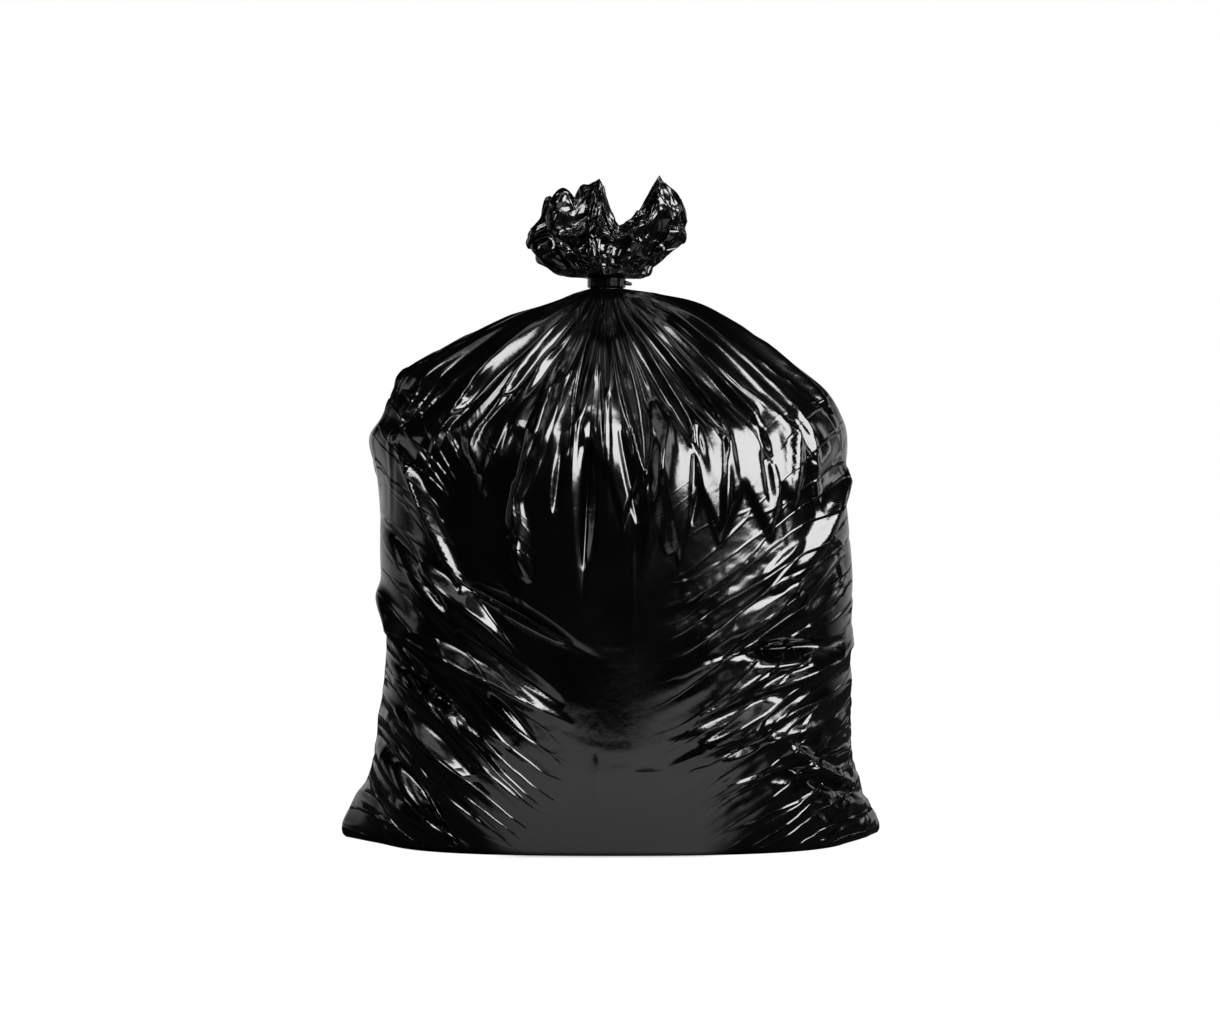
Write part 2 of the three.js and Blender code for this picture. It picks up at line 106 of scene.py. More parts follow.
# Coordinates that the material reads: their unit, and for the topknot their radius and their step up each row
# of its profile
FLOW_UNIT = 100
KNOT_FLOW_RADIUS = 60
KNOT_FLOW_STEP = 9

# How much of the simulated move the film takes: everywhere, and more where it is worn
SETTLED_EVERYWHERE = 0.06
SETTLED_WHERE_WORN = 0.5

# Valleys between the gathers over the shoulders: direction in degrees, and run out from the neck as a share
# of the half width. Each one ends in a point on the belly.
VALLEYS = np.array([
    (10, 1.2), (22, 0.96), (37, 1.31), (51, 1.08), (64, 0.86), (80, 1.02), (93, 0.82), (107, 1.13),
    (118, 0.89), (133, 1.24), (148, 1.05), (160, 1.28), (174, 1.07), (186, 1.09), (197, 1.23), (212, 1.05),
    (223, 0.87), (241, 0.84), (257, 0.95), (269, 0.82), (283, 1.21), (301, 1.11), (312, 1.1), (323, 1.28),
    (336, 1.34), (350, 1.18),
])
VALLEY_DEPTH = 17
# Distances from the neck where the valleys start to narrow, and where they have their full depth
VALLEY_START = 60
VALLEY_FULL = 240
# Thin lips along the valleys, and creases that trail from their points
LIP_HEIGHT = 2.0
TRAIL_HEIGHT = 2.4
TRAIL_RUN = 120
LIP_WIDTH = 7

# Narrow pleats around the neck, and how far they stand out
PLEATS = 68
PLEAT_HEIGHT = 3.4

# How far the gathers' lines crowd toward the front and back at the neck, in radians
NECK_TURN = 0.27

# Lower edge of the lands between the gathers as seen from the front: across and up. They end in hanging
# points.
LAND_EDGE = np.array([
    (-262, 480), (-158, 450), (-131, 380), (-104, 452), (-70, 425), (-30, 440), (0, 400), (14, 350),
    (30, 400), (55, 395), (73, 312), (93, 390), (116, 330), (141, 392), (169, 334), (182, 388), (195, 366),
    (207, 410), (220, 400), (262, 450),
])
LAND_RISE = 5

# Main folds of the front wall as seen from the front: start and end (across and up as shares of the half
# width and the neck's height), half-width and height as shares of the half width (a negative height is a
# groove)
MAIN_FOLDS = np.array([
    (-0.87, 0.71, -0.58, 0.46, 0.045, 0.026), (-0.93, 0.57, -0.66, 0.43, 0.065, -0.038),
    (-0.78, 0.51, -0.46, 0.39, 0.07, 0.038), (-0.58, 0.47, -0.15, 0.37, 0.07, -0.024),
    (-0.81, 0.38, -0.27, 0.26, 0.075, 0.042), (-0.95, 0.47, -0.71, 0.28, 0.065, 0.034),
    (-0.86, 0.33, -0.5, 0.21, 0.065, -0.034), (-0.87, 0.25, -0.55, 0.13, 0.075, 0.042),
    (-0.97, 0.2, -0.67, 0.05, 0.075, -0.038), (-0.2, 0.82, -0.37, 0.62, 0.07, 0.042),
    (-0.37, 0.62, -0.35, 0.49, 0.07, 0.034), (-0.08, 0.72, -0.1, 0.5, 0.065, -0.034),
    (0.23, 0.74, 0.15, 0.54, 0.07, 0.03), (1.0, 0.69, 0.78, 0.49, 0.075, 0.038),
    (0.97, 0.54, 0.62, 0.43, 0.07, -0.02), (0.77, 0.46, 0.46, 0.38, 0.07, 0.038),
    (0.86, 0.365, 0.57, 0.355, 0.075, -0.05), (0.96, 0.35, 0.61, 0.28, 0.07, 0.038),
    (0.75, 0.3, 0.35, 0.23, 0.07, -0.038), (0.71, 0.25, 0.35, 0.18, 0.07, 0.038),
    (0.95, 0.18, 0.57, 0.125, 0.07, -0.034), (1.0, 0.11, 0.65, 0.2, 0.07, 0.038),
])
MAIN_FOLDS *= [HALF_WIDTH, NECK_HEIGHT, HALF_WIDTH, NECK_HEIGHT, HALF_WIDTH, HALF_WIDTH]

# Thin creases of the front wall: start and end (across, up), half-width, and height (a negative height is a
# groove). FINE_WIDTH scales the half-widths.
FINE_WIDTH = 0.75
FINE_FOLDS = [
    (-227, 435, -153, 278, 13, 7), (-243, 349, -172, 262, 11, -6), (-204, 309, -120, 240, 12, 6),
    (-153, 286, -38, 224, 14, -6), (-211, 231, -72, 157, 15, 8), (-163, 240, -48, 162, 13, -6),
    (-248, 287, -186, 169, 12, 6), (-230, 227, -186, 156, 10, -5), (-225, 200, -130, 128, 12, -6),
    (-227, 151, -144, 82, 14, 8), (-254, 135, -192, 66, 12, -7), (-174, 161, -110, 105, 12, 5),
    (-130, 184, -77, 126, 10, -5), (-239, 55, -176, 18, 12, 6), (-235, 94, -176, 32, 12, -6),
    (-58, 540, -131, 380, 38, 8), (-52, 511, -75, 434, 11, 8), (-72, 445, -100, 372, 11, 8),
    (-98, 380, -103, 330, 10, 7), (-103, 337, -84, 290, 10, 6), (-22, 440, -27, 305, 14, -6),
    (-50, 430, -58, 360, 12, -5), (10, 450, 30, 350, 10, -6), (44, 480, 62, 320, 24, 11),
    (92, 455, 84, 350, 12, -6), (125, 455, 118, 340, 12, 6), (160, 480, 168, 372, 14, -6),
    (200, 480, 192, 372, 12, 6), (262, 417, 215, 306, 13, 7), (257, 317, 205, 258, 11, -6),
    (205, 334, 160, 295, 10, 5), (201, 279, 130, 232, 12, 7), (222, 224, 146, 220, 18, -12),
    (225, 206, 150, 200, 8, 6), (252, 211, 165, 178, 11, 7), (197, 199, 99, 157, 12, -7),
    (178, 199, 92, 148, 9, 6), (187, 167, 92, 119, 11, 7), (170, 130, 110, 108, 10, -5),
    (230, 140, 150, 122, 12, 6), (250, 110, 165, 84, 12, -6), (262, 70, 160, 138, 10, 6),
    (276, 52, 190, 92, 10, -6), (200, 100, 120, 70, 12, 5), (24, 90, 58, 90, 8, 0.8),
    (-10, 30, -14, 110, 9, 1.5), (24, 340, 22, 8, 6, 0.7),
]
# Height up to which the faces are split along the folds
FOLDS_TOP = 400
# The back has the folds of the front, higher up and shallower
BACK_FOLD_RISE = 22
BACK_FOLD_SHARE = 0.85
# Powers that make the crests of the main folds and of the thin creases sharp
MAIN_SHARPNESS = 2.6
FINE_SHARPNESS = 1.5

# Flat facets of the film: length around, width along, and a number that sets each kind apart
LARGE_FACETS = (170, 24, 210)
SMALL_FACETS = (110, 10, 220)
HANGING_FACETS = (17, 120, 260)
CRUMPLED_FACETS = (22, 19, 200)
TINY_FACETS = (11, 9, 250)
KNOT_FACETS = (30, 24, 230)
KNOT_SMALL_FACETS = (15, 12, 240)
# How far the facets' corners stray from an even pattern, and the step in their numbers from row to row
FACET_STRAY = 0.85
FACET_ROW = 97

# Waves that give the patches of wear: their count, a number that sets them apart, longest and shortest
WEAR_WAVES = (4, 31, 420, 260)

# The facets rise from the middle to each side, by the square of the way aside over these lengths
RISE_LEFT = 330
RISE_RIGHT = 450

# Soft lumps of the contents: height, number around, turn in radians, and spacing up the wall
LUMPS = [(2.4, 3, 0.8, 460), (1.8, 5, 2.9, 270), (1.3, 8, 4.4, 195)]

# Outline of the topknot's rim as seen from the front: across and up
KNOT_RIM = np.array([
    (-98, 652), (-92, 676), (-76, 700), (-64, 711), (-50, 716), (-37, 714), (-28, 725), (-10, 725),
    (-5, 712), (2, 694), (10, 686), (24, 688), (37, 701), (46, 716), (55, 731), (68, 724), (80, 720),
    (94, 698),
])
# Film of the topknot from the neck out, up to the rim and down inside: share of the reach, height, and how
# far the rim's outline counts
KNOT_PROFILE = np.array([
    (0.2, 612, 0.0), (0.215, 618, 0.0), (0.4, 619.5, 0.0), (0.64, 622, 0.0), (0.8, 629, 0.02),
    (0.9, 641, 0.08), (0.965, 656, 0.2), (1.0, 674, 0.55), (0.95, 692, 0.8), (0.86, 705, 0.95),
    (0.77, 712, 1.0), (0.71, 709, 0.97), (0.66, 698, 0.8), (0.56, 684, 0.5), (0.4, 672, 0.2),
    (0.2, 666, 0.05), (0.05, 664, 0.0),
])
KNOT_COLUMNS = 520
KNOT_RINGS = 170
KNOT_LEFT = 86
KNOT_RIGHT = 80
KNOT_DEPTH = 56
KNOT_REACH = 84
KNOT_RIM_HEIGHT = 712
KNOT_HOLLOW_HEIGHT = 664
# Ruffles around the topknot, and the smaller ones between them
KNOT_RUFFLES = 11
KNOT_SMALL_RUFFLES = 23
# Heights of the topknot's facets, large and small
KNOT_FACET_HEIGHT = 10.5
KNOT_SMALL_HEIGHT = 3.0

# Film: colours, least and most roughness, and creases that are too fine for the mesh. Each set of creases has
# its stretch in film coordinates, its waver, the thickness of its crests (0 for flat-sided cells) and its
# depth in metres.
BLACK = (0.0006, 0.0006, 0.00065)
TIE_BLACK = (0.001, 0.001, 0.0011)
FILM_SHEEN = (0.10, 0.20)
TIE_SHEEN = (0.1, 0.18)
BODY_CREASES = [((0.8, 0.8, 4.2), 1.3, 0.06, 0.0016), ((3.0, 3.0, 6.0), 2.0, 0, 0.0004)]
KNOT_CREASES = [((5.5, 5.5, 7.0), 3.0, 0.06, 0.0008), ((14.0, 14.0, 12.0), 6.0, 0, 0.0003)]
CREASE_SWAY = 0.22
FILM_IOR = 1.47

# Floor: its corners in metres, where the pale wedge in front fades out (in radians to each side and in metres
# ahead), and its colour and its glow for the camera, outside and inside the wedge
FLOOR_CORNERS = [(-2.0, 4.0), (-2.0, -1.12), (2.0, -1.12), (2.0, 4.0)]
WEDGE_SIDE = (0.58, 0.8)
WEDGE_END = (0.5, 1.15)
FLOOR_COLOUR = (0.02, 0.36)
FLOOR_GLOW = (1.0, 0.55)

# Room around the object: its even light, what the film mirrors of it in front and behind, and as parts of a
# direction where behind begins and is full, and where it fades out above
ROOM_LIGHT = 0.55
ROOM_MIRRORED = (0.004, 0.62)
ROOM_BEHIND = (0.15, 0.75)
ROOM_EDGE = (0.1, 0.42)

# Lamps: azimuth (0 is in front, growing to the right) and elevation in degrees, distance, width and height in
# metres, and radiance
LAMPS = [
    ("softbox_right", 43, 31, 2.3, 1.85, 1.5, 10),
    ("softbox_left", -39, 45, 2.4, 0.42, 1.0, 8.5),
    ("softbox_top", 0, 74, 2.4, 1.8, 0.7, 0.9),
    ("reflector_left", -88, 14, 2.2, 0.35, 1.2, 0.7),
    ("reflector_right", 108, 16, 2.2, 0.4, 1.2, 1.6),
]
LAMP_TARGET = Vector((0, 0, 0.42))

# Camera: lens and sensor in millimetres, target and distance in metres, and elevation in degrees
CAMERA_LENS = 85
CAMERA_SENSOR = 36
CAMERA_TARGET = Vector((0, 0, 0.3625))
CAMERA_DISTANCE = 3.17
CAMERA_ELEVATION = 0.6


def scatter(index, salt):
    """A repeatable number between 0 and 1."""
    value = math.sin(index * 12.9898 + salt * 78.233) * 43758.5453
    return value - math.floor(value)


def tent(distance):
    """One at 0, falling evenly to zero at a distance of 1."""
    return np.maximum(0.0, 1.0 - np.abs(distance))


def crest(distance, rounding=0.2):
    """A tent with a slightly rounded top."""
    slack = rounding * (1 - np.minimum(1, np.abs(distance)))
    return np.maximum(0.0, 1.0 - np.hypot(distance, rounding) + slack)


def ramp(value, low, high):
    """A smooth step from 0 up to 1 between two values."""
    share = np.clip((value - low) / (high - low), 0.0, 1.0)
    return share * share * (3 - 2 * share)


def curve_through(points, place):
    """Rows of points, read at a fractional row number along a smooth curve."""
    last = len(points) - 1
    index = np.clip(np.floor(place).astype(int), 0, last - 1)
    share = (place - index)[..., None]
    a = points[np.clip(index - 1, 0, last)]
    b = points[index]
    c = points[np.clip(index + 1, 0, last)]
    d = points[np.clip(index + 2, 0, last)]
    bend = 2 * a - 5 * b + 4 * c - d
    twist = 3 * b - a - 3 * c + d
    return 0.5 * (2 * b + (c - a) * share + bend * share**2 + twist * share**3)


def turn_between(angle, other):
    """The turn from one angle to another, between minus half a turn and half a turn."""
    return np.arctan2(np.sin(angle - other), np.cos(angle - other))


def ear_reach(ear, angle, height):
    """How far an ear stands out from the wall."""
    direction, spread, reach, tip, top = ear
    across = tent(turn_between(angle, math.radians(direction)) / math.radians(spread))
    return reach * across**1.25 * ramp(height, -tip / 2, tip) * (1 - ramp(height, tip, top)) ** 1.4


def smooth_body(place, angle):
    """Points of the body before folds, in millimetres."""
    height, left, right, front, back, square = np.moveaxis(curve_through(BODY_SECTIONS, place), -1, 0)
    across = np.where(np.cos(angle) < 0, left, right)
    deep = np.where(np.sin(angle) < 0, front, back)
    spread = np.abs(np.cos(angle) / across) ** square + np.abs(np.sin(angle) / deep) ** square
    reach = spread ** (-1 / square)
    reach = reach + ear_reach(LEFT_EAR, angle, height) + ear_reach(RIGHT_EAR, angle, height)
    shift = NECK_X * ramp(height, 300, 600)
    return np.stack([shift + reach * np.cos(angle), reach * np.sin(angle), height], axis=-1)


def body_normals(place, angle):
    """Outward directions on the body before folds."""
    step = 0.02
    last = len(BODY_SECTIONS) - 1
    above = smooth_body(np.minimum(last, place + step), angle)
    below = smooth_body(np.maximum(0, place - step), angle)
    around = smooth_body(place, angle + step) - smooth_body(place, angle - step)
    normal = np.cross(around, above - below)
    return normal / np.linalg.norm(normal, axis=-1, keepdims=True)


def gather_height(angle, distance):
    """How far the gathers move the film out, at a distance from the neck. Valleys fan out between sharp
    crests and narrow to a point. A thin lip edges each valley and a crease trails from its point. Narrow
    pleats run out from the neck over all of them."""
    directions = np.radians(VALLEYS[:, 0])
    runs = VALLEYS[:, 1] * HALF_WIDTH
    count = len(VALLEYS)
    depths = np.array([0.75 + 0.25 * scatter(index, 2) for index in range(count)])
    turned = np.mod(angle, TURN)
    offsets = np.mod(turned[..., None] - directions + math.pi, TURN) - math.pi
    nearest = np.argmin(np.abs(offsets), axis=-1)
    offset = np.take_along_axis(offsets, nearest[..., None], axis=-1)[..., 0]
    ahead = np.mod(directions[(nearest + 1) % count] - directions[nearest], TURN) / 2
    behind = np.mod(directions[nearest] - directions[(nearest - 1) % count], TURN) / 2
    half = np.where(offset > 0, ahead, behind)
    across = np.abs(offset) / half
    run = runs[nearest]
    travelled = np.clip((distance - VALLEY_START) / (run - VALLEY_START), 0, 1)
    width = (1 - travelled**1.6) ** 0.75
    shape = np.clip(1 - (across / np.maximum(width, 0.02)) ** 2, 0, 1)
    bunched = np.minimum(1, distance / VALLEY_FULL) ** 1.6
    sunk = depths[nearest] * bunched * shape * width**0.6
    clear = ramp(distance, 50, 120)
    lifted = 0.3 * clear * (1 - ramp(distance, 120, 260))
    reach = np.maximum(distance, 20) * half
    edge = np.abs(across - width) * reach
    lip = LIP_HEIGHT * crest(edge / LIP_WIDTH, 0.3) * clear * (1 - ramp(distance, run + 5, run + 20))
    trail = TRAIL_HEIGHT * crest(across * reach / LIP_WIDTH, 0.3) * ramp(distance, run - 25, run + 5)
    trail *= 1 - ramp(distance, run + 5, run + TRAIL_RUN)
    pleated = PLEAT_HEIGHT * pleats(turned) * ramp(distance, 15, 120) * (1 - ramp(distance, 200, 340))
    return VALLEY_DEPTH * (lifted - sunk) + lip + trail + pleated


def pleats(angle):
    """Heights from -1 to 1 around the neck: flat strips between sharp creases."""
    index = np.arange(PLEATS)
    places = [number + 0.6 * scatter(number, 41) for number in range(PLEATS)]
    heights = [0.4 + 0.6 * scatter(number, 42) for number in range(PLEATS)]
    signed = np.array(heights) * np.where(index % 2, 1, -1)
    return np.interp(angle, np.array(places) / PLEATS * TURN, signed, period=TURN)


def fold_place(fold, across, up):
    """Place along a fold from 0 to 1, distance aside in millimetres, and the fold's length."""
    x0, z0, x1, z1 = fold[:4]
    run = np.array([x1 - x0, z1 - z0])
    length = np.hypot(*run)
    along = ((across - x0) * run[0] + (up - z0) * run[1]) / length**2
    aside = ((across - x0) * run[1] - (up - z0) * run[0]) / length
    return along, aside, length


def main_fold(fold, across, up):
    """A broad fold with a sharp crest that tapers past both ends."""
    along, aside, length = fold_place(fold, across, up)
    width, height = fold[4:]
    past = np.maximum(0, np.maximum(-along, along - 1)) * length
    body = (1 - 0.6 * (2 * np.clip(along, 0, 1) - 1) ** 2) * tent(past / (2 * width))
    return height * body * crest(aside / (width * (0.4 + 0.6 * body))) ** MAIN_SHARPNESS


def fine_fold(fold, across, up):
    """A thin crease, pointed at both ends, steep on one side and slack on the other."""
    along, aside, _ = fold_place(fold, across, up)
    width = fold[4] * FINE_WIDTH
    height = fold[5]
    body = np.clip(1 - (2 * along - 1) ** 2, 0, 1) ** 0.7
    spread = np.where(aside > 0, 0.7, 1.5) * width * (0.35 + 0.65 * body)
    return height * body * crest(aside / spread, 0.3) ** FINE_SHARPNESS


def wall_folds(points):
    """Heights of all folds and creases of the wall. They fade out at the sides, where front and back meet."""
    front = points[..., 1] < 0
    across = np.where(front, points[..., 0], -points[..., 0])
    up = np.where(front, points[..., 2], points[..., 2] - BACK_FOLD_RISE)
    total = sum(main_fold(fold, across, up) for fold in MAIN_FOLDS)
    total = total + sum(fine_fold(fold, across, up) for fold in FINE_FOLDS)
    total = total * np.where(front, 1, BACK_FOLD_SHARE)
    return total * ramp(np.abs(points[..., 1]), 0, 0.2 * HALF_WIDTH)


def crumple(u, v, count, salt, longest, shortest):
    """A sum of flat-sided waves in scattered directions over film coordinates."""
    total = np.zeros_like(u)
    for index in range(count):
        direction = TURN * scatter(index, salt)
        length = shortest + (longest - shortest) * scatter(index, salt + 1)
        bend = 0.18 * longest * np.sin(u / (1.7 * longest) + 9 * scatter(index, salt + 3))
        run = u * math.cos(direction) + (v + bend) * math.sin(direction)
        phase = run / length + scatter(index, salt + 2)
        wave = 2 * np.abs(2 * (phase - np.floor(phase + 0.5))) - 1
        total += wave * length
    return total / (count * 0.5 * (longest + shortest))


def facet_field(u, v, facets, period):
    """Heights from -1 to 1 over film coordinates, made of flat facets that meet in sharp creases. The field
    repeats in u after one period."""
    long, wide, salt = facets
    columns = max(3, round(period / long))
    low, high = float(v.min()) - 2 * wide, float(v.max()) + 2 * wide
    rows = math.ceil((high - low) / wide)
    flat = []
    heights = []
    for row in range(rows):
        for column in range(-2, columns + 2):
            index = row * FACET_ROW + column % columns
            x = column + 0.5 * (row % 2) + FACET_STRAY * (scatter(index, salt) - 0.5)
            y = row + FACET_STRAY * (scatter(index, salt + 1) - 0.5)
            flat.append(Vector((x, y)))
            heights.append(2 * scatter(index, salt + 2) - 1)
    corners, _, faces, origins, _, _ = delaunay_2d_cdt(flat, [], [], 0, 1e-6)
    raised = [Vector((c.x, c.y, heights[origin[0]])) for c, origin in zip(corners, origins)]
    tree = BVHTree.FromPolygons(raised, faces)
    down = Vector((0, 0, -1))
    across = (np.mod(u, period) / period * columns).ravel()
    up = ((v - low) / wide).ravel()
    found = np.zeros(across.size)
    for number, (x, y) in enumerate(zip(across, up)):
        place = tree.ray_cast(Vector((x, y, 5)), down)[0]
        found[number] = place.z if place else 0
    return found.reshape(u.shape)


def column_angles(columns):
    """Film angles of the columns, closer together over the front."""
    even = np.arange(columns) / columns * TURN
    return even - FRONT_SHIFT * np.cos(even)


def fan_angle(angle, height):
    """Direction of a line of the film at a height. Near the neck, lines crowd toward the front and back."""
    return angle + NECK_TURN * ramp(height, 430, 600) * np.sin(2 * angle)


def body_grid(columns, rings):
    """An even grid over the wall: places along the sections, film angles, and run of film from the floor."""
    dense = np.linspace(0, len(BODY_SECTIONS) - 1, PROFILE_STEPS)
    profile = curve_through(BODY_SECTIONS, dense)
    travel = np.hypot(np.diff(profile[:, 0]), np.diff(0.5 * (profile[:, 3] + profile[:, 2])))
    travel = np.concatenate([[0], np.cumsum(travel)])
    place = np.interp(np.linspace(0, travel[-1], rings), travel, dense)
    place, angle = np.meshgrid(place, column_angles(columns), indexing="ij")
    return place, angle, np.interp(place, dense, travel)


def body_points(columns, rings):
    """Grid of the folded wall in millimetres, with the film's own coordinates and how worn it is."""
    place, angle, film_up = body_grid(columns, rings)
    turned = fan_angle(angle, curve_through(BODY_SECTIONS, place)[..., 0])
    points = smooth_body(place, turned)
    across, deep, height = np.moveaxis(points, -1, 0)
    away = np.hypot(across - NECK_X, deep)
    distance = np.hypot(away, DROP_WEIGHT * (height - NECK_HEIGHT))
    side = np.abs(HALF_WIDTH * np.cos(angle))
    swag = height - side**2 / np.where(across < 0, RISE_LEFT, RISE_RIGHT)
    film_around = angle * FILM_RADIUS

    # Where the film is worn: in patches, most at the right corner, and least in the middle and near the neck
    patchy = ramp(crumple(film_around, film_up, *WEAR_WAVES), -0.1, 0.6)
    corner = ramp(across, 90, 200) * (1 - ramp(height, 60, 190))
    middle = (1 - ramp(side, 50, 170)) * (1 - ramp(height, 330, 420))
    near_neck = 1 - ramp(distance, 220, 380)
    shoulder = ramp(height, 300, 390) * (1 - ramp(side, 180, 240))
    worn = (1 - middle) * (1 - near_neck) * (1 - 0.8 * shoulder)
    worn = np.clip(worn * (0.25 + 0.75 * patchy) + 0.6 * corner, 0, 1)

    # Facets: low on the wall, on the points that hang from the gathers, and at the right corner
    period = FILM_RADIUS * TURN
    crumpled = facet_field(film_around, film_up, CRUMPLED_FACETS, period)
    tiny = facet_field(film_around, film_up, TINY_FACETS, period)
    large = facet_field(film_around, swag, LARGE_FACETS, period)
    small = facet_field(film_around, swag, SMALL_FACETS, period)
    hanging = facet_field(angle * HANGING_RADIUS, distance, HANGING_FACETS, HANGING_RADIUS * TURN)
    low = 1 - ramp(height, 230, 330)
    right = ramp(across, -20, 60)
    hung = ramp(distance, 210, 290) * (1 - ramp(distance, 330, 420))
    crinkled = (1 - 0.9 * middle) * low * (1.8 * large + (0.5 + 0.9 * patchy + 0.4 * right) * small)
    crinkled += 2.2 * hung * hanging
    crinkled += (0.5 * patchy * low * right + 4.0 * corner) * crumpled + 1.8 * corner * tiny

    # Lands between the gathers end in a step above the belly
    edge = np.interp(across, LAND_EDGE[:, 0], LAND_EDGE[:, 1])
    land = ramp(height - edge, -9, 13) * (1 - ramp(height, 400, 520))
    crinkled += LAND_RISE * land * ramp(-deep, 20, 70)

    lumps = sum(
        size * np.sin(count * angle + turn) * np.cos(height / spacing * TURN)
        for size, count, turn, spacing in LUMPS
    )
    from_floor = ramp(height, 0, 45)
    wall = (wall_folds(points) + lumps) * from_floor + crinkled * ramp(height, 0, 22)
    wall = wall * ramp(away, 20, 90)
    lift = wall + gather_height(angle, distance) * from_floor
    flow_x = FILM_RADIUS * np.cos(angle)
    flow_y = FILM_RADIUS * np.sin(angle)
    flow = np.stack([flow_x, flow_y, swag], axis=-1) / FLOW_UNIT
    return points + body_normals(place, turned) * lift[..., None], flow, worn


def grid_mesh(name, rings, bottom, top):
    """A mesh object from stacked rings, in millimetres, closed by a point at the top, and at the bottom where
    one is given. The first corner of a face sets the way it is split: along the folds of the wall, which run
    down toward its middle."""
    count = rings.shape[1]
    leaning = (rings[..., 0] * rings[..., 1] > 0) & (rings[..., 2] < FOLDS_TOP)
    vertices = [tuple(point) for point in (rings.reshape(-1, 3) * MM)]
    faces = []
    for ring in range(rings.shape[0] - 1):
        low = ring * count
        for column in range(count):
            step = (column + 1) % count
            corners = (low + column, low + step, low + count + step, low + count + column)
            faces.append(corners[1:] + corners[:1] if leaning[ring, column] else corners)
    if bottom is not None:
        vertices.append(tuple(np.array(bottom) * MM))
        faces += [(len(vertices) - 1, (column + 1) % count, column) for column in range(count)]
    vertices.append(tuple(np.array(top) * MM))
    last = (rings.shape[0] - 1) * count
    faces += [(len(vertices) - 1, last + column, last + (column + 1) % count) for column in range(count)]
    mesh = bpy.data.meshes.new(name)
    mesh.from_pydata(vertices, [], faces)
    mesh.polygons.foreach_set("use_smooth", [True] * len(mesh.polygons))
    made = bpy.data.objects.new(name, mesh)
    bpy.context.scene.collection.objects.link(made)
    return made


def settle(made, hold, frames, spare, pressure, cap):
    """Lets the film buckle: it has a little spare size, is pushed out by its contents, and is held by weights
    from 0 to 1. Returns how far each point moved, in metres, and never more than the cap."""
    group = made.vertex_groups.new(name="hold")
    levels = np.round(np.clip(hold, 0, 1), 2)
    for level in np.unique(levels):
        if level > 0:
            group.add(np.where(levels == level)[0].tolist(), float(level), "REPLACE")
    before = np.empty(len(made.data.vertices) * 3)
    made.data.vertices.foreach_get("co", before)
    cloth = made.modifiers.new("film", "CLOTH")
    settings = cloth.settings
    settings.quality = 5
    settings.mass = 0.15
    settings.tension_stiffness = 25
    settings.compression_stiffness = 25
    settings.shear_stiffness = 12
    settings.bending_stiffness = 0.06
    settings.tension_damping = 6
    settings.compression_damping = 6
    settings.shear_damping = 6
    settings.air_damping = 3
    settings.vertex_group_mass = "hold"
    settings.pin_stiffness = 0.6
    settings.shrink_min = -spare
    settings.use_pressure = True
    settings.uniform_pressure_force = pressure
    settings.effector_weights.gravity = 0
    cloth.point_cache.frame_start = 1
    cloth.point_cache.frame_end = frames
    scene = bpy.context.scene
    for number in range(1, frames + 1):
        scene.frame_set(number)
    shaped = made.evaluated_get(bpy.context.evaluated_depsgraph_get())
    after = np.empty_like(before)
    shaped.data.vertices.foreach_get("co", after)
    made.modifiers.remove(cloth)
    scene.frame_set(1)
    move = (after - before).reshape(-1, 3)
    size = np.linalg.norm(move, axis=1, keepdims=True)
    move *= np.minimum(1, cap / np.maximum(size, 1e-9))
    return move


def body_rings(wall, offset):
    """The wall with its flat base below and the neck inside the tie above."""
    columns = wall.shape[1]
    base = np.stack([wall[0] * share for share in BASE_SHARES])
    base[..., 2] = 0
    angle = fan_angle(column_angles(columns), NECK_HEIGHT)
    across = NECK_X + NECK_RADIUS * np.cos(angle)
    deep = NECK_RADIUS * np.sin(angle)
    neck = [np.stack([across, deep, np.full(columns, height)], -1) for height in NECK_RINGS]
    return np.concatenate([base, wall, neck]) + offset


def with_ends(field):
    """A field of the wall, carried on over the rings of the base and the neck."""
    return np.concatenate([field[:1]] * len(BASE_SHARES) + [field] + [field[-1:]] * len(NECK_RINGS))


def finer(field, rings, columns):
    """A field on the coarse grid, read on a finer grid. Columns go round, so the last one meets the first."""
    along = np.linspace(0, field.shape[0] - 1, rings)
    around = np.arange(columns) * field.shape[1] / columns
    row = np.clip(np.floor(along).astype(int), 0, field.shape[0] - 2)
    column = np.floor(around).astype(int) % field.shape[1]
    next_column = (column + 1) % field.shape[1]
    down = ramp(along - row, 0, 1)[:, None, None]
    over = ramp(around - np.floor(around), 0, 1)[None, :, None]
    near = field[row][:, column] * (1 - over) + field[row][:, next_column] * over
    far = field[row + 1][:, column] * (1 - over) + field[row + 1][:, next_column] * over
    return near * (1 - down) + far * down


def settled_move(offset):
    """Simulates the coarse film and returns how far each point of the fine wall moves, in millimetres. The
    film is held firmly at the floor and inside the tie, and loosely elsewhere."""
    coarse, _, _ = body_points(COARSE_COLUMNS, COARSE_RINGS)
    rings = body_rings(coarse, offset)
    top = [offset[0] + NECK_X, offset[1], NECK_TOP]
    made = grid_mesh("film_coarse", rings, offset * [1, 1, 0], top)
    height = rings[..., 2]
    hold = 0.15 + 0.85 * (1 - ramp(height, 2, 30)) + 0.5 * ramp(height, 470, 590)
    hold[-2 * len(NECK_RINGS):] = 1
    hold = np.concatenate([hold.ravel(), [1, 1]])
    move = settle(made, hold, frames=16, spare=0.012, pressure=1.5, cap=0.010) / MM
    bpy.data.objects.remove(made)
    first = len(BASE_SHARES) * COARSE_COLUMNS
    last = first + COARSE_RINGS * COARSE_COLUMNS
    field = move[first:last].reshape(COARSE_RINGS, COARSE_COLUMNS, 3)
    return finer(field, RINGS, COLUMNS)


